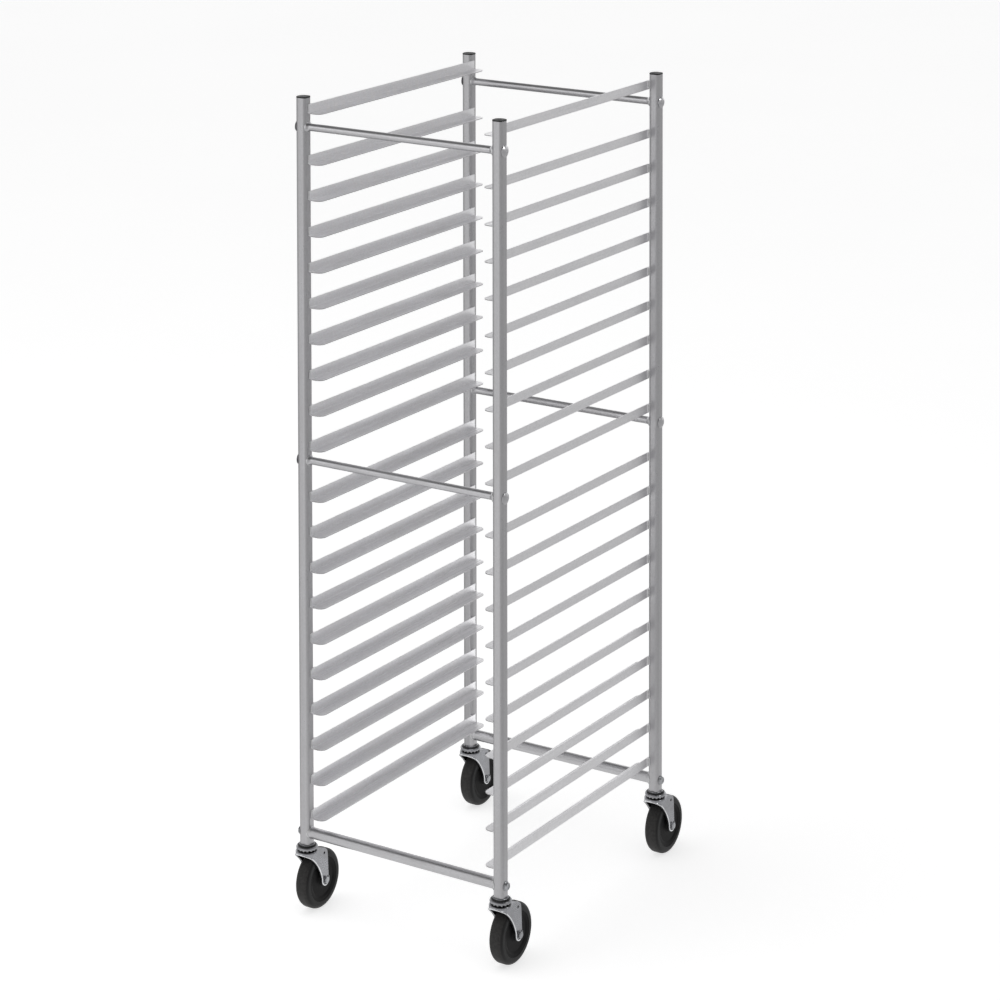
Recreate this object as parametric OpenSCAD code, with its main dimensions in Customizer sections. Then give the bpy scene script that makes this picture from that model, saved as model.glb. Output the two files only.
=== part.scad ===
// Sheet pan rack: an open welded tube frame with angle slides, on four swivel casters.
// Millimetres. +Z is up, the front (loading end) faces -Y, +X is to the right.
// The origin is on the floor, at the middle of the four wheel contact points
// with every caster trailing towards the back.

/* [Posts] */
// Side of the square post tube
post_side = 25.4; // [24:0.1:30]
// Outside corner radius of the post tube
post_corner = 8; // [3:0.5:9]
// Wall of the post tube
post_wall = 2; // [1.5:0.1:2.5]
// Distance between post centres across the rack
span_x = 489; // [440:1:640]
// Distance between post centres from front to back
span_y = 635; // [420:1:760]

/* [Slides] */
// Height from one slide to the next
pitch = 76.2; // [60:0.1:100]
// Height between slides where a crossbar passes
bar_gap = 107.95; // [100:0.05:130]
// Number of slides below the middle crossbars, on each side
levels_low = 10; // [4:1:10]
// Number of slides between the middle and the top crossbars, on each side
levels_up = 9; // [4:1:9]
// Width of a slide's ledge, from the post face
slide_width = 30.5; // [24:0.5:40]
// Height of a slide's upright leg
slide_height = 20.6; // [16:0.1:26]
// Thickness of the slide angle
slide_wall = 1.8; // [1.5:0.1:2.5]
// Radius on the ledge's free corners, in plan
slide_corner = 15; // [4:1:20]

/* [Crossbars] */
// Diameter of the top and middle crossbars
bar_dia = 16; // [12:0.5:18]
// Wall of the top and middle crossbars
bar_wall = 1.5; // [1:0.1:2]
// Diameter of the domed head on each end of a top or middle crossbar
head_dia = 24.6; // [22:0.2:30]
// Height of the domed head
head_height = 4.4; // [3:0.1:6]
// Diameter of the bottom crossbars
low_bar_dia = 23.5; // [20:0.1:23.8]
// Wall of the bottom crossbars
low_bar_wall = 1.8; // [1.2:0.1:2.5]

/* [Casters] */
// Wheel diameter
wheel_dia = 125; // [120:1:130]
// Wheel width
wheel_width = 32; // [26:1:32]
// Distance from the swivel axis back to the axle
trail = 37; // [30:1:42]
// Height of the post's foot above the floor
foot_z = 152; // [152:1:170]

/* [Hidden] */
$fn = 64;
gap = 0.02;                         // keeps touching parts apart
post_x = span_x/2;
post_y = span_y/2;
frame_y = -trail;                   // the frame sits forward of the wheel contacts
face_in = post_x - post_side/2;     // post faces, measured from the centre plane
face_out = post_x + post_side/2;
wheel_r = wheel_dia/2;

// Slide heights (underside of the ledge), from the bottom up
first_slide = foot_z + 52.7;
low_slides = [for (i = [0:levels_low - 1]) first_slide + i*pitch];
mid_slides = [for (i = [0:levels_up - 1]) low_slides[levels_low - 1] + bar_gap + i*pitch];
last_slide = mid_slides[levels_up - 1] + bar_gap;
up_slides = concat(mid_slides, [last_slide]);
post_top = last_slide + 34;

// Crossbar heights, each just under a slide
bar_z_low = first_slide - 28.4;
bar_z_mid = mid_slides[0] - 19.4;
bar_z_top = last_slide - 27.3;

// Shoulders where a crossbar meets a post's inner face, from the middle outwards:
// [added to the bar's radius, distance outwards from the face]
bar_shoulder = [[0, -7.5], [0.5, -5.2], [2.2, -2.4], [3.4, -0.8], [3.4, 3.8]];
low_bar_shoulder = [[0, -4.4], [0.6, -2.6], [0.8, -1], [0.5, 4.3]];

// Cross bolt at each foot
bolt_r = 5;
bolt_reach = 14;                    // how far it goes into the bottom crossbar

// Caster levels, measured down from the foot
flange_wall = 2.4;                  // flange of the foot adapter
flange_r = 16.6;
race_top = foot_z - flange_wall;
seal_height = 2.1;
seal_z = race_top - seal_height;    // underside of the dust seal's space
race_bottom = race_top - 7.6;
race_r = 23;
neck_r = 13;                        // race's neck, inside the seal
ball_r = 3;
ball_ring = 17;
ball_count = 14;
crown_top = race_bottom - 4.8;
ball_z = (race_bottom + crown_top)/2;
crown_bottom = crown_top - 4.7;
crown_r = 24.5;
pin_r = 6;
pin_reach = 16;                     // how far the kingpin goes above the foot

// Fork legs, axle and wheel
leg_in = 17.3;                      // inside and outside faces of a leg
leg_out = 20.5;
leg_wall = leg_out - leg_in;
rib_height = 1.9;                   // rib on the leg's outside, with its overlap
boss_r = 12.5;
axle_r = 4;
hex_r = 7.5;                        // axle bolt's head and nut
washer_r = 8;
washer_height = 1;
overlap = 0.1;                      // how far fused shapes run into each other
sleeve_r = 6.3;
core_r = 47;

ALUMINIUM = [0.80, 0.81, 0.82];
ZINC = [0.72, 0.73, 0.76];
BLACK = [0.07, 0.07, 0.08];
RUBBER = [0.13, 0.13, 0.14];
STEEL = [0.62, 0.63, 0.65];

// Rack corners: side in x, side in y
FRONT_LEFT = [-1, -1];
FRONT_RIGHT = [1, -1];
BACK_LEFT = [-1, 1];
BACK_RIGHT = [1, 1];

CORNERS = ["fl", "fr", "bl", "br"];

// ---------- helpers ----------

// Square with rounded corners: the post's outline, moved in by inset
module post_profile(inset = 0, least_r = 0) {
    side = post_side - 2*inset;
    r = max(post_corner - inset, least_r);
    square([side - 2*r, side], center = true);
    square([side, side - 2*r], center = true);
    for (x = [-1, 1], y = [-1, 1])
        translate([x*(side/2 - r), y*(side/2 - r)]) circle(r);
}

// Places children at a post's axis, on the floor
module at(corner) {
    translate([corner[0]*post_x, corner[1]*post_y + frame_y, 0]) children();
}

// Places children on the centre plane, level with the front (-1) or back (1) posts
module at_row(row, z) {
    translate([0, row*post_y + frame_y, z]) children();
}

// Places children on a caster's axle, with their Z axis along X
module at_axle(corner, x = 0) {
    at(corner) translate([x, trail, wheel_r]) rotate([0, 90, 0]) children();
}

// Solid outline of the two posts that a crossbar meets
module post_solids(row, z) {
    for (side = [-1, 1])
        at([side, row]) translate([0, 0, z - 30])
            linear_extrude(60) post_profile(-gap);
}

// Turns a profile (radius, distance along X) about the X axis
module lathe_x() {
    rotate([0, 90, 0]) rotate_extrude() children();
}

// Cylinder along X, centred
module rod_x(r, length) {
    rotate([0, 90, 0]) cylinder(r = r, h = length, center = true);
}

// Extrudes a (y, z) shape along X, from x to x + depth
module along_x(x, depth) {
    translate([x, 0, 0]) rotate([90, 0, 90]) linear_extrude(depth) children();
}

// Whole profile from its half, listed from the middle outwards
function both_ends(half) =
    concat([for (i = [len(half) - 1:-1:0]) [half[i][0], -half[i][1]]], half);

// Hexagon with a bevelled top edge
module hex_head(r, height, bevel_in, bevel_down) {
    intersection() {
        cylinder(r = r, h = height, $fn = 6);
        rotate_extrude() polygon([[0, 0], [r, 0], [r, height - bevel_down],
            [r - bevel_in, height], [0, height]]);
    }
}

// ---------- frame ----------

module post(corner) {
    color(ALUMINIUM) at(corner) difference() {
        translate([0, 0, foot_z]) linear_extrude(post_top - foot_z) difference() {
            post_profile();
            post_profile(post_wall);
        }
        for (z = [bar_z_mid, bar_z_top])
            translate([0, 0, z]) rod_x(bar_dia/2 + gap, post_side + 4);
        translate([0, 0, bar_z_low]) rod_x(bolt_r + 0.2, post_side + 4);
    }
}

// Ring inside the post tube; outer and inner are insets from the tube's bore
module cap_ring(z, height, outer, inner, least_r) {
    translate([0, 0, z]) linear_extrude(height) difference() {
        post_profile(post_wall + outer);
        post_profile(post_wall + inner, least_r);
    }
}

// Plastic plug with a slightly domed head
module cap(corner) {
    thick = 3.6;
    dome_r = 110;
    color(BLACK) at(corner) translate([0, 0, post_top]) {
        intersection() {
            linear_extrude(thick) post_profile(-0.25);
            translate([0, 0, thick - dome_r]) sphere(dome_r, $fn = 160);
        }
        cap_ring(z = -14, height = 14 + overlap, outer = 0.2, inner = 1.8, least_r = 0.4);
        // gripping ribs
        for (z = [-11, -7])
            cap_ring(z = z, height = 1.4, outer = 0.05, inner = 0.7, least_r = 0.3);
    }
}

// Crossbar tube with a shoulder at each post
module bar_tube(outer, inner, shoulder) {
    end = face_in + shoulder[len(shoulder) - 1][1];
    lathe_x() polygon(both_ends(concat(
        [for (p = shoulder) [outer + p[0], face_in + p[1]]],
        [[inner, end]])));
}

// Small crossbar: passes through both posts, with a shoulder on the inner
// faces and a closed domed head upset over the outer faces
module through_bar(row, z) {
    outer = bar_dia/2;
    inner = outer - bar_wall;
    head_r = head_dia/2;
    rim = 0.9;                      // straight edge below the dome
    dome_r = (head_height*head_height + head_r*head_r)/(2*head_height);
    color(ALUMINIUM) union() {
        difference() {
            at_row(row, z) bar_tube(outer, inner, bar_shoulder);
            post_solids(row, z);
        }
        for (side = [0, 1]) mirror([side, 0, 0]) at_row(row, z) lathe_x() {
            // tube through the post, closed at its end
            polygon([[inner, face_in - 12], [outer, face_in - 12],
                [outer, face_out + overlap], [0, face_out + overlap],
                [0, face_out - 5], [inner - 1.5, face_out - 5], [inner, face_out - 7]]);
            translate([0, face_out + gap]) square([head_r, rim]);
            intersection() {
                translate([0, face_out + rim + head_height - dome_r])
                    circle(dome_r, $fn = 120);
                translate([0, face_out + rim - overlap]) square([head_r, head_height + 1]);
            }
        }
    }
}

// Bottom crossbar: larger tube coped to the posts, with a tapped plug in each end
module low_bar(row) {
    outer = low_bar_dia/2;
    inner = outer - low_bar_wall;
    end = face_in + low_bar_shoulder[3][1];
    plug = bolt_reach + 8;          // length of the plug
    color(ALUMINIUM) difference() {
        at_row(row, bar_z_low) union() {
            bar_tube(outer, inner, low_bar_shoulder);
            for (side = [-1, 1])
                translate([side*(end - plug/2 - 2), 0, 0]) rod_x(inner + 0.2, plug);
        }
        at_row(row, bar_z_low) for (side = [-1, 1])
            translate([side*(face_in - bolt_reach/2 - 0.6), 0, 0])
                rod_x(bolt_r + 0.03, bolt_reach + 1.6);
        post_solids(row, bar_z_low);
    }
}

// Section of a slide: first axis runs inwards from the post face, second axis up
module slide_section() {
    outer_r = slide_wall + 0.6;
    fillet = 0.9;
    difference() {
        union() {
            square([slide_width, slide_wall]);
            square([slide_wall, slide_height]);
            translate([slide_wall - 0.01, slide_wall - 0.01]) difference() {
                square(fillet);
                translate([fillet, fillet]) circle(fillet);
            }
        }
        difference() {
            translate([-1, -1]) square(outer_r + 1);
            translate([outer_r, outer_r]) circle(outer_r);
        }
    }
}

// One slide on the left side: angle lapped half way across both posts' inner
// faces, with its weld beads
module slide_left(z) {
    weld_z = 2.6;                   // foot of the beads, above the ledge's underside
    translate([-face_in, frame_y, z]) {
        difference() {
            rotate([90, 0, 0]) linear_extrude(span_y, center = true) slide_section();
            for (end = [0, 1]) mirror([0, end, 0])
                translate([slide_width - slide_corner, post_y - slide_corner, -1])
                    linear_extrude(slide_wall + 2) difference() {
                        square(slide_corner + 2);
                        circle(slide_corner);
                    }
        }
        for (end = [0, 1]) mirror([0, end, 0]) translate([0, post_y, weld_z]) {
            // bead in the groove between the slide and the post's round corner
            linear_extrude(slide_height - weld_z) difference() {
                polygon([[0.3, -16], [0.3, -5], [-5.4, -7], [-5.8, -11.8], [-3.2, -13.6]]);
                translate([-post_side/2, 0]) post_profile(-gap);
            }
            // bead across the slide's end
            linear_extrude(slide_height - weld_z - 0.6)
                polygon([[gap, -0.2], [gap, 2.2], [0.9, 1.7], [slide_wall - 0.1, -0.2]]);
        }
    }
}

module slides_left(heights) {
    color(ALUMINIUM) for (z = heights) slide_left(z);
}

module slides_right(heights) {
    color(ALUMINIUM) mirror([1, 0, 0]) for (z = heights) slide_left(z);
}

// Flanged hex bolts through the posts' feet into the bottom crossbars
module foot_bolts() {
    color(STEEL) for (side = [0, 1], row = [-1, 1])
        at_row(row, bar_z_low) mirror([side, 0, 0]) {
            translate([face_in - bolt_reach, 0, 0]) rotate([0, 90, 0])
                cylinder(r = bolt_r, h = bolt_reach + post_side + 1);
            translate([face_out + gap, 0, 0]) rotate([0, 90, 0]) {
                rotate_extrude() polygon([
                    [0, 0], [9.6, 0], [9.9, 0.7], [9.2, 1.5], [6.6, 2.2], [0, 2.2]]);
                difference() {
                    hex_head(r = 8.4, height = 5.8, bevel_in = 1.5, bevel_down = 1.2);
                    // recess in the head
                    translate([0, 0, 5.1]) cylinder(r = 4.6, h = 2);
                }
            }
        }
}

// ---------- casters ----------

// Adapter that fills the post's foot; its flange shows under the post
module adapter(corner) {
    bevel = 0.8;
    color(ZINC) at(corner) difference() {
        union() {
            translate([0, 0, race_top]) rotate_extrude()
                polygon([[0, 0], [flange_r, 0], [flange_r, flange_wall - bevel],
                    [flange_r - bevel, flange_wall], [0, flange_wall]]);
            translate([0, 0, foot_z - 0.01]) linear_extrude(46)
                post_profile(post_wall + 0.1);
        }
        translate([0, 0, race_top - 1])
            cylinder(r = pin_r + gap, h = flange_wall + pin_reach + 1.5);
        translate([0, 0, bar_z_low]) rod_x(bolt_r + 0.15, post_side + 4);
    }
}

// Kingpin: screwed up into the adapter, its head under the crown
module kingpin(corner) {
    head = 3.6;                     // height of the head
    color(STEEL) at(corner) {
        translate([0, 0, crown_bottom - 2])
            cylinder(r = pin_r, h = foot_z + pin_reach - crown_bottom + 2);
        translate([0, 0, crown_bottom - 0.1 - head]) rotate_extrude()
            polygon([[0, 0], [8.8, 0], [10, 1.1], [10, head], [0, head]]);
    }
}

// Section of the ball track, with a little play round the balls
module ball_track() {
    translate([ball_ring, ball_z]) circle(ball_r + 0.03);
}

// Upper race: pressed steel cup under the adapter's flange, stepped down for the seal
module race(corner) {
    inner = pin_r + gap;
    shoulder = 2.6;                 // radius of the upper outside edge
    edge = 1;                       // radius of the lower outside edge
    color(ZINC) at(corner) rotate_extrude() difference() {
        union() {
            translate([inner, race_bottom]) square([neck_r - pin_r, race_top - race_bottom]);
            translate([inner, race_bottom]) square([20 - pin_r, seal_z - race_bottom]);
            translate([inner, race_bottom + edge])
                square([race_r - inner, seal_z - race_bottom - shoulder - edge]);
            translate([race_r - shoulder, seal_z - shoulder]) circle(shoulder);
            translate([race_r - edge, race_bottom + edge]) circle(edge);
            translate([race_r - edge - 3, race_bottom]) square([3, 2]);
        }
        ball_track();
    }
}

// Black dust seals between the adapters' flanges and the races
module dust_seals() {
    inner = neck_r + 0.06;
    color(BLACK) for (corner = [FRONT_LEFT, FRONT_RIGHT, BACK_LEFT, BACK_RIGHT])
        at(corner) rotate_extrude() polygon([
            [inner, seal_z + gap], [19.4, seal_z + gap],
            [19.5, race_top - 1], [18.9, race_top - gap], [inner, race_top - gap]]);
}

module balls(corner) {
    color(STEEL) at(corner) for (i = [0:ball_count - 1])
        rotate([0, 0, i*360/ball_count]) translate([ball_ring, 0, ball_z])
            sphere(ball_r, $fn = 32);
}

// Hollow front edge of a fork leg, in the leg's (y, z) plane: an arc that
// passes through two points, and its centre
leg_front = -sqrt(crown_r*crown_r - leg_out*leg_out);
arc_r = 110;
arc_top = [leg_front, crown_bottom - 8.5];
arc_end = [trail - boss_r + 0.5, wheel_r + 4];
chord = arc_end - arc_top;
arc_centre = (arc_top + arc_end)/2
    + sqrt(arc_r*arc_r - chord*chord/4)*[chord[1], -chord[0]]/norm(chord);

module front_arc(grow = 0) {
    translate(arc_centre) circle(arc_r + grow, $fn = 180);
}

// Side view of a fork leg
module leg_shape() {
    difference() {
        polygon([
            [leg_front, crown_bottom + 3], [trail - 11, crown_bottom + 3],
            [trail + 1, crown_bottom - 1.5], [trail + 8, crown_bottom - 8],
            [trail + 9.6, crown_bottom - 20], [trail + boss_r - 0.1, wheel_r],
            [trail, wheel_r - 4], [trail - boss_r, wheel_r], [leg_front, wheel_r + 20]]);
        front_arc();
    }
    translate([trail, wheel_r]) circle(boss_r);
}

module fork(corner) {
    rounding = 2.4;                 // crown's upper edge
    apron = 12;                     // depth of the front apron
    color(ZINC) at(corner) difference() {
        union() {
            // crown with a rounded shoulder
            rotate_extrude() difference() {
                translate([0, crown_bottom]) square([crown_r, crown_top - crown_bottom]);
                translate([crown_r - rounding, crown_top - rounding]) difference() {
                    square(3);
                    circle(rounding);
                }
            }
            // plate from the crown back between the legs' tops
            translate([-leg_out, 0, crown_bottom]) cube([2*leg_out, trail - 11, 3]);
            // front apron, following the same curve as the legs' front edges
            difference() {
                translate([0, 0, crown_bottom - apron]) cylinder(r = crown_r, h = apron + 2);
                translate([0, 0, crown_bottom - apron - 1])
                    cylinder(r = crown_r - leg_wall, h = apron + 4);
                translate([-30, -11, crown_bottom - apron - 1]) cube([60, 60, apron + 4]);
                along_x(-40, 80) front_arc();
            }
            for (side = [0, 1]) mirror([side, 0, 0]) {
                along_x(leg_in, leg_wall) leg_shape();
                // raised rib along the front edge
                along_x(leg_out - overlap, rib_height) intersection() {
                    leg_shape();
                    difference() {
                        front_arc(2.4);
                        translate([trail, wheel_r]) circle(boss_r - 0.2);
                    }
                }
                // raised rib round the axle boss, open above
                along_x(leg_out - overlap, rib_height) translate([trail, wheel_r])
                    difference() {
                        circle(boss_r);
                        circle(boss_r - 2.2);
                        translate([-20, 5]) square(40);
                    }
            }
        }
        // kingpin hole, ball track, axle holes and a hole at each leg's top
        cylinder(r = pin_r + 0.06, h = foot_z);
        rotate_extrude() ball_track();
        translate([0, trail, wheel_r]) rod_x(axle_r + 0.04, 80);
        translate([0, trail - 3, crown_bottom - 11]) rod_x(3, 80);
    }
}

// Its head is on the left
module axle_bolt(corner) {
    head = 5.6;                     // height of the hexagon
    color(STEEL) at_axle(corner) {
        translate([0, 0, -leg_out - 1]) cylinder(r = axle_r, h = 2*leg_out + 7.5);
        translate([0, 0, -leg_out - gap - washer_height])
            cylinder(r = washer_r, h = washer_height);
        translate([0, 0, -leg_out - washer_height + overlap - head]) difference() {
            translate([0, 0, head]) mirror([0, 0, 1])
                hex_head(r = hex_r, height = head, bevel_in = 1.2, bevel_down = 1);
            // recess in the head
            translate([0, 0, -0.5]) cylinder(r = 4, h = 1);
        }
    }
}

module axle_nut(corner) {
    color(STEEL) at_axle(corner, leg_out + gap) difference() {
        union() {
            cylinder(r = washer_r, h = washer_height);
            translate([0, 0, washer_height - overlap])
                hex_head(r = hex_r, height = 5.3, bevel_in = 1.2, bevel_down = 1);
        }
        translate([0, 0, -1]) cylinder(r = axle_r + gap, h = 10);
    }
}

// Spacer clamped between the fork legs; the wheel turns on it
module sleeve(corner) {
    color(STEEL) at_axle(corner) difference() {
        cylinder(r = sleeve_r, h = 2*(leg_in - gap), center = true);
        cylinder(r = axle_r + 0.03, h = 2*leg_in + 2, center = true);
    }
}

module core(corner) {
    half = wheel_width/2;
    color(BLACK) at_axle(corner) rotate_extrude() polygon(both_ends([
        [core_r, half - 0.5], [41, half - 1.4], [36, half - 3.2], [18, half - 3.2],
        [14.5, half - 2.4], [13, half], [11.6, half + 0.8], [sleeve_r + 0.06, half + 0.8]]));
}

// Crowned tread bonded round the core
module tyre(corner) {
    half = wheel_width/2;
    edge = 10;                      // radius of the tread's edges
    inner = core_r + 0.01;
    color(RUBBER) at_axle(corner) rotate_extrude() union() {
        translate([inner, -half]) square([wheel_r - edge - core_r, 2*half]);
        translate([inner, -half + edge]) square([wheel_r - inner, 2*half - 2*edge]);
        intersection() {
            union() for (side = [-1, 1])
                translate([wheel_r - edge, side*(half - edge)]) circle(edge, $fn = 96);
            translate([inner, -half]) square([wheel_r, 2*half]);
        }
    }
}

// ---------- assembly ----------

post(FRONT_LEFT);  // post_fl
post(FRONT_RIGHT);  // post_fr
post(BACK_LEFT);  // post_bl
post(BACK_RIGHT);  // post_br
cap(FRONT_LEFT);  // cap_fl
cap(FRONT_RIGHT);  // cap_fr
cap(BACK_LEFT);  // cap_bl
cap(BACK_RIGHT);  // cap_br
through_bar(-1, bar_z_top);  // crossbar_top_front
through_bar(1, bar_z_top);  // crossbar_top_back
through_bar(-1, bar_z_mid);  // crossbar_mid_front
through_bar(1, bar_z_mid);  // crossbar_mid_back
low_bar(-1);  // crossbar_low_front
low_bar(1);  // crossbar_low_back
slides_left(low_slides);  // slides_left_lower
slides_left(up_slides);  // slides_left_upper
slides_right(low_slides);  // slides_right_lower
slides_right(up_slides);  // slides_right_upper
foot_bolts();
dust_seals();
adapter(FRONT_LEFT);  // adapter_fl
adapter(FRONT_RIGHT);  // adapter_fr
adapter(BACK_LEFT);  // adapter_bl
adapter(BACK_RIGHT);  // adapter_br
kingpin(FRONT_LEFT);  // kingpin_fl
kingpin(FRONT_RIGHT);  // kingpin_fr
kingpin(BACK_LEFT);  // kingpin_bl
kingpin(BACK_RIGHT);  // kingpin_br
race(FRONT_LEFT);  // race_fl
race(FRONT_RIGHT);  // race_fr
race(BACK_LEFT);  // race_bl
race(BACK_RIGHT);  // race_br
balls(FRONT_LEFT);  // balls_fl
balls(FRONT_RIGHT);  // balls_fr
balls(BACK_LEFT);  // balls_bl
balls(BACK_RIGHT);  // balls_br
fork(FRONT_LEFT);  // fork_fl
fork(FRONT_RIGHT);  // fork_fr
fork(BACK_LEFT);  // fork_bl
fork(BACK_RIGHT);  // fork_br
axle_bolt(FRONT_LEFT);  // axle_bolt_fl
axle_bolt(FRONT_RIGHT);  // axle_bolt_fr
axle_bolt(BACK_LEFT);  // axle_bolt_bl
axle_bolt(BACK_RIGHT);  // axle_bolt_br
axle_nut(FRONT_LEFT);  // axle_nut_fl
axle_nut(FRONT_RIGHT);  // axle_nut_fr
axle_nut(BACK_LEFT);  // axle_nut_bl
axle_nut(BACK_RIGHT);  // axle_nut_br
sleeve(FRONT_LEFT);  // sleeve_fl
sleeve(FRONT_RIGHT);  // sleeve_fr
sleeve(BACK_LEFT);  // sleeve_bl
sleeve(BACK_RIGHT);  // sleeve_br
core(FRONT_LEFT);  // core_fl
core(FRONT_RIGHT);  // core_fr
core(BACK_LEFT);  // core_bl
core(BACK_RIGHT);  // core_br
tyre(FRONT_LEFT);  // tyre_fl
tyre(FRONT_RIGHT);  // tyre_fr
tyre(BACK_LEFT);  // tyre_bl
tyre(BACK_RIGHT);  // tyre_br
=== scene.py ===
import bpy
import math
import random
import numpy as np
from mathutils import Matrix, Vector

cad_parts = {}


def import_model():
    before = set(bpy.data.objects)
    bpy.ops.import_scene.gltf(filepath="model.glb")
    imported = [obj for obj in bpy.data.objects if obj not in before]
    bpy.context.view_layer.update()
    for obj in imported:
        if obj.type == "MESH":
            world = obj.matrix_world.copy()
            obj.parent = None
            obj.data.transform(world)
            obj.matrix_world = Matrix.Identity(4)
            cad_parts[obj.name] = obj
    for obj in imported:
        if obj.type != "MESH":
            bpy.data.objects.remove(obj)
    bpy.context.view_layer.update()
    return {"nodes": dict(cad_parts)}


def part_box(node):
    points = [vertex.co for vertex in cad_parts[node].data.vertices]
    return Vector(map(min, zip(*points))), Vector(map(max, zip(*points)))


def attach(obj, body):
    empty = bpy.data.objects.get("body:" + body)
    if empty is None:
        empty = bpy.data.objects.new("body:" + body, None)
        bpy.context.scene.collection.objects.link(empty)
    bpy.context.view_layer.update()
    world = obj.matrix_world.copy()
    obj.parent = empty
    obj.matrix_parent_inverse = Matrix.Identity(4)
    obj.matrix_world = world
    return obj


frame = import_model()
NODE = frame["nodes"]
CORNERS = ("fl", "fr", "bl", "br")
scene = bpy.context.scene
scene.view_settings.view_transform = "Standard"
scene.view_settings.look = "None"
scene.view_settings.exposure = 0.0
scene.view_settings.gamma = 1.0


# ---------------------------------------------------------------- node helper

class Tree:
    """Builds a shader tree: t.add(type, settings, inputs), where an input may be a value or a socket."""

    def __init__(self, name):
        self.mat = bpy.data.materials.new(name)
        self.mat.use_nodes = True
        self.t = self.mat.node_tree
        self.t.nodes.clear()

    def add(self, kind, settings=None, **inputs):
        n = self.t.nodes.new(kind)
        for k, v in (settings or {}).items():
            setattr(n, k, v)
        for k, v in inputs.items():
            key = int(k[1:]) if k[0] == "i" and k[1:].isdigit() else k.replace("_", " ")
            s = n.inputs[key]
            if isinstance(v, bpy.types.NodeSocket):
                self.t.links.new(v, s)
            else:
                s.default_value = v
        return n

    def math(self, op, a, b=0.0, c=0.0, clamp=False):
        return self.add("ShaderNodeMath", {"operation": op, "use_clamp": clamp}, i0=a, i1=b, i2=c).outputs[0]

    def ramp(self, fac, stops):
        n = self.add("ShaderNodeValToRGB", i0=fac)
        e = n.color_ramp.elements
        while len(e) > 1:
            e.remove(e[-1])
        for i, (p, v) in enumerate(stops):
            x = e[0] if i == 0 else e.new(p)
            x.position = p
            x.color = (v, v, v, 1) if not hasattr(v, "__len__") else (*v, 1)
        return n.outputs[0]

    def mix(self, fac, a, b, blend="MIX"):
        n = self.add("ShaderNodeMix", {"data_type": "RGBA", "blend_type": blend})
        for key, v in ((0, fac), (6, a), (7, b)):
            if isinstance(v, bpy.types.NodeSocket):
                self.t.links.new(v, n.inputs[key])
            else:
                n.inputs[key].default_value = v if key == 0 else ((*v, 1) if len(v) == 3 else v)
        return n.outputs[2]

    def coord(self, scale=(1, 1, 1), offset=(0, 0, 0)):
        c = self.add("ShaderNodeTexCoord").outputs["Object"]
        return self.add("ShaderNodeMapping", Vector=c, Scale=scale, Location=offset).outputs[0]

    def noise(self, vector, scale=1.0, detail=2.0, rough=0.5):
        return self.add("ShaderNodeTexNoise", None, Vector=vector, Scale=scale, Detail=detail,
                        Roughness=rough).outputs[0]

    def edge(self, radius):
        """1 on edges sharper than the radius, 0 on open faces."""
        b = self.add("ShaderNodeBevel", {"samples": 4}, Radius=radius).outputs[0]
        g = self.add("ShaderNodeNewGeometry").outputs["Normal"]
        d = self.add("ShaderNodeVectorMath", {"operation": "DOT_PRODUCT"}, i0=b, i1=g).outputs["Value"]
        return self.math("MULTIPLY", self.math("SUBTRACT", 1.0, d), 6.0, clamp=True)

    def out(self, **bsdf):
        b = self.add("ShaderNodeBsdfPrincipled", None, **bsdf)
        o = self.add("ShaderNodeOutputMaterial")
        self.t.links.new(b.outputs[0], o.inputs[0])
        return self.mat


def dress(obj, mat):
    obj.data.materials.clear()
    obj.data.materials.append(mat)


# ---------------------------------------------------------------- materials

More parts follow.
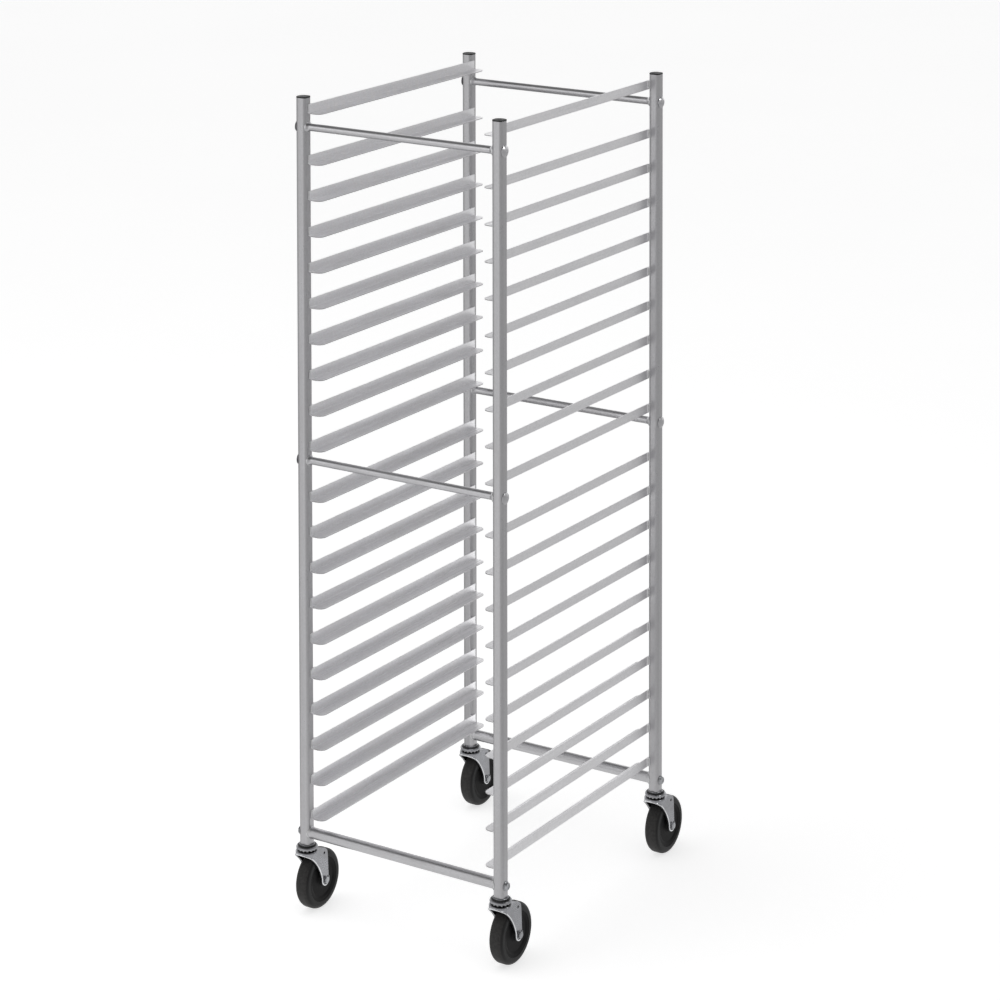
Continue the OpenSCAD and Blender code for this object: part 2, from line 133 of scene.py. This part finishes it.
def aluminium(name, grain, base=(0.80, 0.808, 0.82), rough=0.36, bevel=0.0005, sheet=False):
    """Mill finish aluminium with its drawing lines along one axis. A sheet part also has rough
    sheared edges darkened with painted shade, and rubbed tracks on top where pans slide."""
    t = Tree(name)
    fine = [1500.0, 1500.0, 1500.0]
    wide = [210.0, 210.0, 210.0]
    fine[grain], wide[grain] = 14.0, 3.2
    f = t.noise(t.coord(fine), 1.0, 3.0, 0.6)
    w = t.noise(t.coord(wide, (3, 7, 1)), 1.0, 4.0, 0.55)
    cloud = t.noise(t.coord((1, 1, 1)), 9.0, 5.0, 0.62)
    speck = t.noise(t.coord((1, 1, 1), (5, 5, 5)), 130.0, 3.0, 0.7)
    scr = list(wide)
    scr[grain], scr[(grain + 1) % 3] = 240.0, 30.0
    cross = t.ramp(t.noise(t.coord(scr, (2, 9, 4)), 1.0, 2.0, 0.4), [(0.0, 0.0), (0.69, 0.0), (0.74, 1.0)])
    e = t.edge(bevel)
    tone = t.math("ADD", t.math("MULTIPLY", t.math("SUBTRACT", w, 0.5), 0.16),
                  t.math("MULTIPLY", t.math("SUBTRACT", cloud, 0.5), 0.14))
    tone = t.math("ADD", tone, t.math("MULTIPLY", t.math("SUBTRACT", f, 0.5), 0.10))
    fleck = [330.0, 330.0, 330.0]
    fleck[grain] = 150.0
    fleck = t.noise(t.coord(fleck, (8, 2, 6)), 1.0, 3.0, 0.75)
    tone = t.math("ADD", tone, t.math("MULTIPLY", t.math("SUBTRACT", fleck, 0.5), 0.34))
    tone = t.math("ADD", tone, t.math("MULTIPLY", e, 0.07))
    # oxide patches are slightly warmer and duller
    dull = t.ramp(cloud, [(0.42, 0.0), (0.62, 1.0)])
    r = t.math("ADD", rough, t.math("MULTIPLY", t.math("SUBTRACT", f, 0.5), 0.16))
    r = t.math("ADD", r, t.math("MULTIPLY", dull, 0.09))
    r = t.math("ADD", r, t.math("MULTIPLY", t.math("SUBTRACT", speck, 0.5), 0.10))
    r = t.math("SUBTRACT", r, t.math("MULTIPLY", e, 0.08))
    if sheet:
        g = t.add("ShaderNodeNewGeometry")
        nx, ny, nz = t.add("ShaderNodeSeparateXYZ", None, Vector=g.outputs["Normal"]).outputs
        px, py, pz = t.add("ShaderNodeSeparateXYZ", None,
                           Vector=t.add("ShaderNodeTexCoord").outputs["Object"]).outputs
        side = t.math("ABSOLUTE", nz)
        # the ledges' cut edges: darkened as painted shade, and rougher as sheared edges are
        inner = t.math("LESS_THAN", t.math("ABSOLUTE", px), 0.2262)
        cut = t.math("MULTIPLY", inner, t.math("LESS_THAN", side, 0.5))
        track = t.ramp(t.noise(t.coord((420.0, 2.2, 1.0), (1, 4, 2)), 1.0, 4.0, 0.6), [(0.50, 0.0), (0.60, 1.0)])
        track = t.math("MULTIPLY", track, t.math("GREATER_THAN", nz, 0.7))
        tone = t.math("ADD", tone, t.math("MULTIPLY", track, 0.07))
        tone = t.math("SUBTRACT", tone, t.math("MULTIPLY", cut, 0.42))
        r = t.math("SUBTRACT", r, t.math("MULTIPLY", track, 0.12))
        r = t.math("ADD", r, t.math("MULTIPLY", cut, 0.12))
    hsv = t.add("ShaderNodeHueSaturation", None, Value=t.math("ADD", tone, 1.0), Color=(*base, 1)).outputs[0]
    col = t.mix(t.math("MULTIPLY", dull, 0.25), hsv, (base[0] * 0.93, base[1] * 0.92, base[2] * 0.90))
    h = t.math("ADD", t.math("MULTIPLY", f, 0.5), t.math("MULTIPLY", w, 0.6))
    h = t.math("SUBTRACT", h, t.math("MULTIPLY", cross, 0.25))
    bev = t.add("ShaderNodeBevel", {"samples": 4}, Radius=bevel).outputs[0]
    bump = t.add("ShaderNodeBump", None, Strength=0.22, Distance=0.00008, Height=h, Normal=bev).outputs[0]
    return t.out(Base_Color=col, Metallic=1.0, Roughness=r, Normal=bump)


def weld(name, base=(0.74, 0.745, 0.75)):
    """Cast-like weld metal: bright, slightly sooty between the ripples."""
    t = Tree(name)
    n = t.noise(t.coord(), 700.0, 4.0, 0.65)
    big = t.noise(t.coord((1, 1, 1), (3, 1, 8)), 90.0, 3.0, 0.6)
    soot = t.ramp(big, [(0.38, 1.0), (0.58, 0.0)])
    col = t.mix(t.math("MULTIPLY", soot, 0.35), base, (0.40, 0.39, 0.38))
    col = t.mix(t.math("MULTIPLY", t.math("SUBTRACT", n, 0.4), 0.5), col, (0.85, 0.85, 0.86))
    r = t.math("ADD", 0.38, t.math("MULTIPLY", n, 0.22))
    bump = t.add("ShaderNodeBump", None, Strength=0.35, Distance=0.00012, Height=n).outputs[0]
    return t.out(Base_Color=col, Metallic=1.0, Roughness=r, Normal=bump)


def zinc(name, base=(0.70, 0.72, 0.75), rough=0.27, bevel=0.0006, dark=0.0):
    """Bright zinc plate over pressed steel: faint spangle, rubbed edges, a little grime, and painted shade darkening
    the hollows.
    """
    t = Tree(name)
    v = t.add("ShaderNodeTexVoronoi", {"feature": "F1"}, Vector=t.coord(), Scale=260.0).outputs["Color"]
    spangle = t.add("ShaderNodeSeparateColor", None, Color=v).outputs[0]
    n = t.noise(t.coord((1, 1, 1), (1, 2, 3)), 42.0, 5.0, 0.6)
    fine = t.noise(t.coord(), 900.0, 3.0, 0.6)
    e = t.edge(bevel)
    tone = t.math("ADD", t.math("MULTIPLY", t.math("SUBTRACT", spangle, 0.5), 0.10),
                  t.math("MULTIPLY", t.math("SUBTRACT", n, 0.5), 0.24))
    tone = t.math("ADD", tone, t.math("MULTIPLY", e, 0.12))
    col = t.add("ShaderNodeHueSaturation", None, Value=t.math("ADD", tone, 1.0 - dark), Color=(*base, 1)).outputs[0]
    grime = t.ramp(n, [(0.0, 1.0), (0.36, 0.55), (0.52, 0.0)])
    col = t.mix(t.math("MULTIPLY", grime, 0.35), col, (0.30, 0.29, 0.28))
    # painted shade: hollows found by ambient occlusion are darkened almost to black
    ao = t.add("ShaderNodeAmbientOcclusion", {"samples": 6}, Distance=0.030).outputs["AO"]
    painted_shade = t.ramp(ao, [(0.10, 1.0), (0.42, 0.55), (0.62, 0.0)])
    col = t.mix(t.math("MULTIPLY", painted_shade, 0.93), col, (0.035, 0.033, 0.031))
    r = t.math("ADD", rough, t.math("MULTIPLY", grime, 0.16))
    r = t.math("ADD", r, t.math("MULTIPLY", t.math("SUBTRACT", fine, 0.5), 0.14))
    bev = t.add("ShaderNodeBevel", {"samples": 4}, Radius=bevel).outputs[0]
    bump = t.add("ShaderNodeBump", None, Strength=0.25, Distance=0.0001,
                 Height=t.math("ADD", fine, t.math("MULTIPLY", n, 0.8)), Normal=bev).outputs[0]
    return t.out(Base_Color=col, Metallic=1.0, Roughness=r, Normal=bump)


def plastic(name, base=(0.018, 0.018, 0.02), rough=0.38, bevel=0.0005):
    """Moulded black plastic: fine leather grain, rubbed edges, light dust."""
    t = Tree(name)
    grain = t.add("ShaderNodeTexVoronoi", {"feature": "SMOOTH_F1"}, Vector=t.coord(), Scale=1700.0).outputs["Distance"]
    n = t.noise(t.coord(), 55.0, 5.0, 0.6)
    e = t.edge(bevel)
    dust = t.ramp(n, [(0.45, 0.0), (0.75, 1.0)])
    col = t.mix(t.math("MULTIPLY", dust, 0.25), base, (0.10, 0.098, 0.095))
    col = t.mix(t.math("MULTIPLY", e, 0.30), col, (0.13, 0.13, 0.135))
    r = t.math("ADD", rough, t.math("MULTIPLY", dust, 0.18))
    r = t.math("ADD", r, t.math("MULTIPLY", t.math("SUBTRACT", n, 0.5), 0.15))
    bev = t.add("ShaderNodeBevel", {"samples": 4}, Radius=bevel).outputs[0]
    bump = t.add("ShaderNodeBump", None, Strength=0.3, Distance=0.0001, Height=grain, Normal=bev).outputs[0]
    return t.out(Base_Color=col, Metallic=0.0, Roughness=r, Normal=bump)


def wheel_material(name, centre, base, rough, tread, dust_amount, shine=0.32):
    """Black rubber or plastic turned about the axle: rings on the sides, scuffs and dust on the tread."""
    t = Tree(name)
    c = t.add("ShaderNodeTexCoord").outputs["Object"]
    p = t.add("ShaderNodeVectorMath", {"operation": "SUBTRACT"}, i0=c, i1=centre).outputs[0]
    s = t.add("ShaderNodeSeparateXYZ", None, Vector=p)
    x, y, z = s.outputs
    rad = t.math("SQRT", t.math("ADD", t.math("MULTIPLY", y, y), t.math("MULTIPLY", z, z)))
    ang = t.math("ARCTAN2", z, y)
    polar = t.add("ShaderNodeCombineXYZ", None, X=t.math("MULTIPLY", rad, 900.0),
                  Y=t.math("MULTIPLY", ang, 1.2), Z=t.math("MULTIPLY", x, 900.0)).outputs[0]
    rings = t.noise(polar, 1.0, 2.0, 0.5)
    n = t.noise(t.coord(), 60.0, 5.0, 0.62)
    fine = t.noise(t.coord((1, 1, 1), (4, 4, 4)), 1400.0, 3.0, 0.6)
    if tread:
        # share of the running surface, fading out over the crowned edges
        run = t.ramp(t.math("DIVIDE", t.math("SUBTRACT", rad, tread - 0.003), 0.006), [(0.35, 0.0), (0.75, 1.0)])
        scuff = t.ramp(t.noise(t.coord((1, 1, 1), (9, 1, 2)), 210.0, 6.0, 0.7), [(0.38, 0.0), (0.62, 1.0)])
        dirty = t.math("MULTIPLY", run, t.math("ADD", 0.35, t.math("MULTIPLY", scuff, 0.65)))
    else:
        run = 0.0
        dirty = t.ramp(n, [(0.42, 0.0), (0.72, 0.6)])
    mark = t.ramp(n, [(0.40, 0.0), (0.72, 1.0)])
    col = t.mix(t.math("MULTIPLY", mark, 0.35), base, tuple(v * 2.0 + 0.003 for v in base))
    col = t.mix(t.math("MULTIPLY", dirty, dust_amount), col, (0.115, 0.110, 0.106))
    e = t.edge(0.0009)
    col = t.mix(t.math("MULTIPLY", e, 0.15), col, (0.09, 0.09, 0.09))
    r = t.math("ADD", rough, t.math("MULTIPLY", dirty, 0.22))
    r = t.math("ADD", r, t.math("MULTIPLY", t.math("SUBTRACT", rings, 0.5), 0.10))
    h = t.math("ADD", t.math("MULTIPLY", rings, 0.5), t.math("MULTIPLY", fine, 0.35))
    if tread:
        # moulding line round the middle of the tread
        line = t.math("SUBTRACT", 1.0, t.math("DIVIDE", t.math("ABSOLUTE", x), 0.0007), clamp=True)
        h = t.math("ADD", h, t.math("MULTIPLY", line, 2.5))
    bev = t.add("ShaderNodeBevel", {"samples": 4}, Radius=0.0006).outputs[0]
    bump = t.add("ShaderNodeBump", None, Strength=0.3, Distance=0.00012, Height=h, Normal=bev).outputs[0]
    return t.out(Base_Color=col, Metallic=0.0, Roughness=r, Normal=bump, Specular_IOR_Level=shine)


# the drawn tubes take darker copies of the aluminium than the sheet slides, posts darkest, set to tone rather than
# alloy: painted shade
ALU_X = aluminium("alu_drawn_x", 0, base=(0.575, 0.572, 0.588), rough=0.30)
ALU_Y = aluminium("alu_sheet_y", 1, base=(0.86, 0.856, 0.875), rough=0.42, sheet=True)
ALU_Z = aluminium("alu_drawn_z", 2, base=(0.515, 0.512, 0.526), rough=0.30)
WELD = weld("weld_metal")
ZINC = zinc("zinc_plate", base=(0.37, 0.375, 0.395))
# bright, smooth copy of the fork zinc for the rim's lit side: a painted highlight
RIM = zinc("zinc_rim_lit", base=(0.86, 0.87, 0.89), rough=0.20)
STEEL = zinc("fastener_steel", base=(0.50, 0.51, 0.53), rough=0.30, dark=0.05)
BALL = zinc("ball_steel", base=(0.60, 0.60, 0.62), rough=0.12)
PLASTIC = plastic("black_plastic", base=(0.006, 0.006, 0.0065), rough=0.46)

for name, obj in NODE.items():
    if name.startswith("post_"):
        dress(obj, ALU_Z)
    elif name.startswith("crossbar_"):
        dress(obj, ALU_X)
    elif name.startswith("slides_"):
        dress(obj, ALU_Y)
    elif name.startswith("cap_") or name == "dust_seals":
        dress(obj, PLASTIC)
    elif name.startswith(("fork_", "race_", "adapter_")):
        dress(obj, ZINC)
    elif name.startswith("balls_"):
        dress(obj, BALL)
    elif name.startswith(("foot_bolts", "kingpin_", "axle_", "sleeve_")):
        dress(obj, STEEL)

for c in CORNERS:
    a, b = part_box("tyre_" + c)
    centre = (a + b) / 2
    dress(NODE["tyre_" + c], wheel_material("tyre_" + c, centre, (0.009, 0.009, 0.0093), 0.42, 0.0590, 0.27, 0.22))
    dress(NODE["core_" + c], wheel_material("core_" + c, centre, (0.005, 0.005, 0.0052), 0.42, None, 0.08, 0.10))


# ---------------------------------------------------------------- pieces made here

def sweep(points, radii, sides=12, squash=1.0):
    """Vertices and faces of a round bar along points (metres), with a radius at each point."""
    p = np.array(points, float)
    tang = np.gradient(p, axis=0)
    tang /= np.linalg.norm(tang, axis=1)[:, None]
    ref = np.array([0.0, 0, 1]) if abs(tang[0][2]) < 0.9 else np.array([0.0, 1, 0])
    n = np.cross(tang[0], ref)
    n /= np.linalg.norm(n)
    verts, faces = [], []
    for i in range(len(p)):
        n = n - tang[i] * (n @ tang[i])
        n /= np.linalg.norm(n)
        b = np.cross(tang[i], n)
        for k in range(sides):
            a = 2 * math.pi * k / sides
            verts.append(p[i] + radii[i] * (math.cos(a) * n + squash * math.sin(a) * b))
    for i in range(len(p) - 1):
        for k in range(sides):
            k2 = (k + 1) % sides
            faces.append((i * sides + k, i * sides + k2, (i + 1) * sides + k2, (i + 1) * sides + k))
    faces.append(tuple(range(sides))[::-1])
    faces.append(tuple(range((len(p) - 1) * sides, len(p) * sides)))
    return verts, faces


def piece(name, parts, mat, body):
    """One mesh from several (vertices, faces), smooth, riding on a body."""
    verts, faces = [], []
    for v, f in parts:
        o = len(verts)
        verts += [tuple(x) for x in v]
        faces += [tuple(i + o for i in q) for q in f]
    me = bpy.data.meshes.new(name)
    me.from_pydata(verts, [], faces)
    me.validate()
    me.polygons.foreach_set("use_smooth", [True] * len(me.polygons))
    me.materials.append(mat)
    o = bpy.data.objects.new(name, me)
    scene.collection.objects.link(o)
    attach(o, body)
    return o


def smooth_path(p, rounds):
    p = np.array(p, float)
    for _ in range(rounds):
        q = p.copy()
        q[1:-1] = 0.25 * p[:-2] + 0.5 * p[1:-1] + 0.25 * p[2:]
        p = q
    return p


# Rolled rim on each fork: round both axle bosses, up the legs' front edges and across the apron
CROWN_R, CROWN_BOT, LEG_OUT, TRAIL, AXLE_Z, BOSS_R, CUT_R = 24.5, 132.5, 20.5, 37.0, 62.5, 12.5, 110.0
leg_front = -math.sqrt(CROWN_R ** 2 - LEG_OUT ** 2)
ca = np.array([leg_front, CROWN_BOT - 8.5])
cb = np.array([TRAIL - BOSS_R + 0.5, AXLE_Z + 4])
cd = cb - ca
cc = (ca + cb) / 2 + math.sqrt(CUT_R ** 2 - cd @ cd / 4) * np.array([cd[1], -cd[0]]) / np.linalg.norm(cd)


def rim_path():
    rim, x = [], LEG_OUT + 0.65
    for d in np.linspace(22, -198, 40):                      # round the boss, from the rear underneath
        a = math.radians(d)
        rim.append((x, TRAIL + (BOSS_R - 1.2) * math.cos(a), AXLE_Z + (BOSS_R - 1.2) * math.sin(a)))
    a0 = math.atan2(cb[1] - cc[1], cb[0] - cc[0])
    a1 = math.atan2(ca[1] - cc[1], ca[0] - cc[0])
    for a in np.linspace(a0 + 0.05, a1, 44):                 # up the leg
        rim.append((x, cc[0] + (CUT_R + 1.2) * math.cos(a), cc[1] + (CUT_R + 1.2) * math.sin(a)))
    half = math.atan2(LEG_OUT, -leg_front)
    for g in np.linspace(half - 0.05, 0, 18):                # across the apron to the middle
        yy = -CROWN_R * math.cos(g)
        rim.append(((CROWN_R - 0.7) * math.sin(g), (CROWN_R - 0.7) * -math.cos(g),
                    cc[1] + math.sqrt((CUT_R + 1.2) ** 2 - (yy - cc[0]) ** 2)))
    rim += [(-q[0], q[1], q[2]) for q in rim[-2::-1]]
    return smooth_path(rim, 3)


rim = rim_path()
for c in CORNERS:
    a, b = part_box("kingpin_" + c)
    axis = (a + b) / 2
    pts = rim / 1000.0 + np.array([axis.x, axis.y, 0.0])
    k = np.arange(len(pts))
    taper = np.clip(np.minimum(k, len(pts) - 1 - k) / 5.0, 0.25, 1.0)
    cut = int(np.argmax(rim[:, 0] < -LEG_OUT + 1.5))      # from here on the left leg's rim takes the darker fork zinc: painted shade
    # right leg and apron rim in bright zinc as a painted highlight, left leg rim in plain fork zinc as painted shade
    piece("fork_rim_" + c, [sweep(pts[:cut + 1], (0.00165 * taper)[:cut + 1], 14)], RIM, "fork_" + c)
    piece("fork_rim_shaded_" + c, [sweep(pts[cut:], (0.00165 * taper)[cut:], 14)], ZINC, "fork_" + c)

# Weld beads: a ripple for each drop of filler
PX, PY, Y0, HALF, POST_R = 0.2445, 0.3175, -0.037, 0.0127, 0.008
FACE_IN = PX - HALF
rng = random.Random(7)


def bead(path, radius, ripple=0.0016, squash=1.0):
    path = np.array(path, float)
    seg = np.linalg.norm(np.diff(path, axis=0), axis=1)
    run = np.concatenate([[0], np.cumsum(seg)])
    n = max(8, int(run[-1] / 0.00034))
    s = np.linspace(0, run[-1], n)
    p = np.stack([np.interp(s, run, path[:, i]) for i in range(3)], 1)
    phase = rng.random() * ripple
    wave = np.abs(np.sin(math.pi * (s + phase) / ripple)) ** 0.6
    drift = np.interp(s, np.linspace(0, run[-1], 9), [rng.uniform(0.93, 1.07) for _ in range(9)])
    end = np.clip(np.minimum(s, run[-1] - s) / (radius * 0.9), 0.0, 1.0)
    r = radius * (0.88 + 0.12 * wave) * drift * np.sqrt(np.clip(1 - (1 - end) ** 2, 0.06, 1))
    return sweep(p, r, 12, squash)


Z_LOW = [0.2047 + 0.0762 * i for i in range(10)]
Z_UP = [Z_LOW[-1] + 0.10795 + 0.0762 * i for i in range(9)]
Z_UP.append(Z_UP[-1] + 0.10795)
for side, sx in (("left", -1), ("right", 1)):
    for part, zs in (("lower", Z_LOW), ("upper", Z_UP)):
        beads = []
        for z in zs:
            for sy in (-1, 1):
                j = [rng.uniform(-0.0003, 0.0003) for _ in range(4)]
                gx, gy = sx * (FACE_IN + 0.0017), Y0 + sy * (PY - 0.0121)
                beads.append(bead([(gx + j[0], gy + j[1], z + 0.0022), (gx + j[2], gy + j[3], z + 0.0203)], 0.0030))
                ex, ey = sx * (FACE_IN - 0.0005), Y0 + sy * (PY + 0.0004)
                beads.append(bead([(ex, ey, z + 0.0030), (ex, ey + sy * j[0], z + 0.0196)], 0.0019))
        piece("welds_%s_%s" % (side, part), beads, WELD, "frame")


def post_drop(y):
    """How far the post's rounded side falls back from its flat face, at y from its middle."""
    y = abs(y) - (HALF - POST_R)
    return 0.0 if y <= 0 else POST_R - math.sqrt(max(0.0, POST_R ** 2 - min(y, POST_R) ** 2))


for bar, z, rho, rad in (("top", 1.6887, 0.0098, 0.0019), ("mid", 0.97905, 0.0098, 0.0019), ("low", 0.1763, 0.0120, 0.0016)):
    for place, sy in (("front", -1), ("back", 1)):
        beads = []
        for sx in (-1, 1):
            ring = []
            for i in range(73):
                t = math.radians(5 * i + 30)
                y = rho * math.cos(t)
                ring.append((sx * (FACE_IN + post_drop(y) - 0.0004), Y0 + sy * PY + y, z + rho * math.sin(t)))
            beads.append(bead(ring, rad))
        piece("welds_%s_%s" % (bar, place), beads, WELD, "frame")


# ---------------------------------------------------------------- floor, light, camera

def floor():
    """Pale studio floor. Its look to the camera is even and near white, with soft contact shadows;
    what the metal mirrors of it is graded, as paper sweeps and dark cards grade it in a studio."""
    t = Tree("pale_floor")
    p = t.add("ShaderNodeNewGeometry").outputs["Position"]
    n = t.noise(p, 0.8, 4.0, 0.5)
    col = t.mix(n, (0.52, 0.52, 0.522), (0.56, 0.56, 0.56))
    diffuse = t.add("ShaderNodeBsdfPrincipled", None, Base_Color=col, Roughness=0.8, Specular_IOR_Level=0.1,
                    Emission_Color=(1, 1, 1, 1), Emission_Strength=FLOOR_GLOW).outputs[0]
    s = t.add("ShaderNodeSeparateXYZ", None, Vector=p)
    g = t.ramp(t.math("ADD", t.math("MULTIPLY", s.outputs[0], 0.1), 0.5),
               [(0.0, FLOOR_LEFT), (0.46, FLOOR_LEFT), (0.60, FLOOR_RIGHT), (1.0, FLOOR_RIGHT * 0.9)])
    # the bright part lies in front; out to the left it is dimmer, so that side and back views keep their tone
    wing = t.math("SUBTRACT", t.math("MULTIPLY", s.outputs[0], -1.15), t.math("MULTIPLY", s.outputs[1], -1.0))
    wing = t.math("MULTIPLY", t.math("ADD", wing, 0.35), 0.9, clamp=True)
    wing = t.math("MULTIPLY", wing, t.math("LESS_THAN", s.outputs[0], -0.3))
    g = t.mix(wing, g, (FLOOR_WING, FLOOR_WING, FLOOR_WING))
    # a dark card lies behind, to the left: it draws thin dark outlines on tubes and edges
    along = t.math("SUBTRACT", t.math("MULTIPLY", s.outputs[1], 0.84), t.math("MULTIPLY", s.outputs[0], 0.54))
    across = t.math("ADD", t.math("MULTIPLY", s.outputs[0], 0.84), t.math("MULTIPLY", s.outputs[1], 0.54))
    card = t.math("SUBTRACT", along, t.math("MULTIPLY", t.math("ABSOLUTE", across), 1.1))
    card = t.math("MULTIPLY", t.math("SUBTRACT", card, 0.2), 1.2, clamp=True)
    g = t.mix(card, g, (CARD, CARD, CARD))
    mirrored = t.add("ShaderNodeEmission", None, Color=g, Strength=1.0).outputs[0]
    ray = t.add("ShaderNodeLightPath").outputs["Is Glossy Ray"]
    both = t.add("ShaderNodeMixShader", None, i0=ray, i1=diffuse, i2=mirrored).outputs[0]
    o = t.add("ShaderNodeOutputMaterial")
    t.t.links.new(both, o.inputs[0])
    bpy.ops.mesh.primitive_circle_add(vertices=96, radius=60, fill_type="NGON")
    f = bpy.context.object
    f.name = "floor"
    f.data.materials.append(t.mat)


def world():
    """Soft studio surround: white behind the object, darker overhead and to the right in what the metal mirrors."""
    w = bpy.data.worlds.new("studio")
    scene.world = w
    w.use_nodes = True
    t = Tree.__new__(Tree)
    t.t = w.node_tree
    t.t.nodes.clear()
    d = t.add("ShaderNodeTexCoord").outputs["Generated"]
    s = t.add("ShaderNodeSeparateXYZ", None, Vector=d)
    up = t.ramp(t.math("ABSOLUTE", s.outputs[2]), [(0.0, SKY[0]), (0.25, SKY[1]), (0.5, SKY[2]), (0.8, SKY[3]), (1.0, SKY[3])])
    # towards +X the room is dimmer
    side = t.ramp(t.math("ADD", t.math("MULTIPLY", s.outputs[0], 0.5), 0.5),
                  [(0.0, 1.0), (0.55, 1.0), (0.86, 0.62), (1.0, 0.55)])
    # the low sky is at its brightest only behind, to the left
    toward = t.math("SUBTRACT", t.math("MULTIPLY", s.outputs[1], 0.84), t.math("MULTIPLY", s.outputs[0], 0.54))
    sector = t.ramp(t.math("ADD", t.math("MULTIPLY", toward, 0.5), 0.5), [(0.0, 0.56), (0.62, 0.56), (0.82, 1.0), (1.0, 1.0)])
    graded = t.math("MULTIPLY", t.math("MULTIPLY", up, side), sector)
    path = t.add("ShaderNodeLightPath")
    cam, glossy = path.outputs["Is Camera Ray"], path.outputs["Is Glossy Ray"]
    plain = t.math("ADD", t.math("MULTIPLY", cam, BACK), t.math("MULTIPLY", t.math("SUBTRACT", 1.0, cam), AMBIENT))
    strength = t.math("ADD", t.math("MULTIPLY", graded, glossy), t.math("MULTIPLY", plain, t.math("SUBTRACT", 1.0, glossy)))
    bg = t.add("ShaderNodeBackground", None, Color=(1, 1, 1, 1), Strength=strength)
    o = t.add("ShaderNodeOutputWorld")
    t.t.links.new(bg.outputs[0], o.inputs[0])


def area(name, loc, target, size, power, size_y=None, mirrored=True):
    d = bpy.data.lights.new(name, "AREA")
    d.energy = power
    d.size = size
    if size_y:
        d.shape = "RECTANGLE"
        d.size_y = size_y
    o = bpy.data.objects.new(name, d)
    scene.collection.objects.link(o)
    o.location = loc
    o.rotation_euler = (Vector(target) - Vector(loc)).to_track_quat("-Z", "Y").to_euler()
    o.visible_camera = False
    o.visible_glossy = mirrored
    return o


def only_for(light, objects):
    """Keep a light, and its shadows, to some objects."""
    group = bpy.data.collections.new(light.name + "_receivers")
    for o in objects:
        group.objects.link(o)
    light.light_linking.receiver_collection = group
    light.light_linking.blocker_collection = group


FLOOR_GLOW, FLOOR_LEFT, FLOOR_RIGHT, FLOOR_WING, CARD = 0.68, 0.90, 0.54, 0.50, 0.26
SKY = (1.52, 1.32, 0.50, 0.25)
BACK, AMBIENT = 1.15, 0.50
floor()
world()
area("top", (-1.2, -1.5, 5.5), (0, 0, 0.8), 4.0, 70, mirrored=False)
area("key", (-2.6, -4.2, 3.6), (0, 0, 0.9), 2.6, 18, 3.4)
# small light from the right for the domed heads, seen in metal only
side = area("side", (3.0, 0.8, 3.4), (0.27, 0, 1.2), 0.8, 22)
side.visible_diffuse = False
# low card that fills the left ladder, which otherwise mirrors only the right one
fill = area("left_fill", (1.4, 2.6, 0.02), (1.4, 2.6, 3.0), 4.5, 46, 6.0)
only_for(fill, [NODE[n] for n in NODE if n.startswith("slides_left")])

yaw, pitch, roll = math.radians(32.376), math.radians(3.118), math.radians(-0.077)
fwd = Vector((-math.sin(yaw) * math.cos(pitch), math.cos(yaw) * math.cos(pitch), -math.sin(pitch)))
right = Vector((math.cos(yaw), math.sin(yaw), 0))
up = right.cross(fwd)
right, up = right * math.cos(roll) + up * math.sin(roll), up * math.cos(roll) - right * math.sin(roll)
cam_data = bpy.data.cameras.new("camera")
cam = bpy.data.objects.new("camera", cam_data)
scene.collection.objects.link(cam)
m = Matrix((right, up, -fwd)).transposed().to_4x4()
m.translation = Vector((3.5896, -5.5689, 2.9366))
cam.matrix_world = m
cam_data.sensor_width = 36.0
cam_data.lens = 3102.925 * 36.0 / 1000.0
cam_data.clip_start = 0.1
cam_data.clip_end = 200.0
# the lens is shifted only while the camera stands at its own place, so that other views stay centred
for path, value in (("shift_x", -0.015232), ("shift_y", -0.800225)):
    cam_data.__setattr__(path, value)
    dr = cam_data.driver_add(path).driver
    dr.type = "SCRIPTED"
    var = dr.variables.new()
    var.name = "z"
    var.type = "TRANSFORMS"
    var.targets[0].id = cam
    var.targets[0].transform_type = "LOC_Z"
    var.targets[0].transform_space = "WORLD_SPACE"
    dr.expression = "%.6f if z > 2.9365 and z < 2.9367 else 0.0" % value
scene.camera = cam
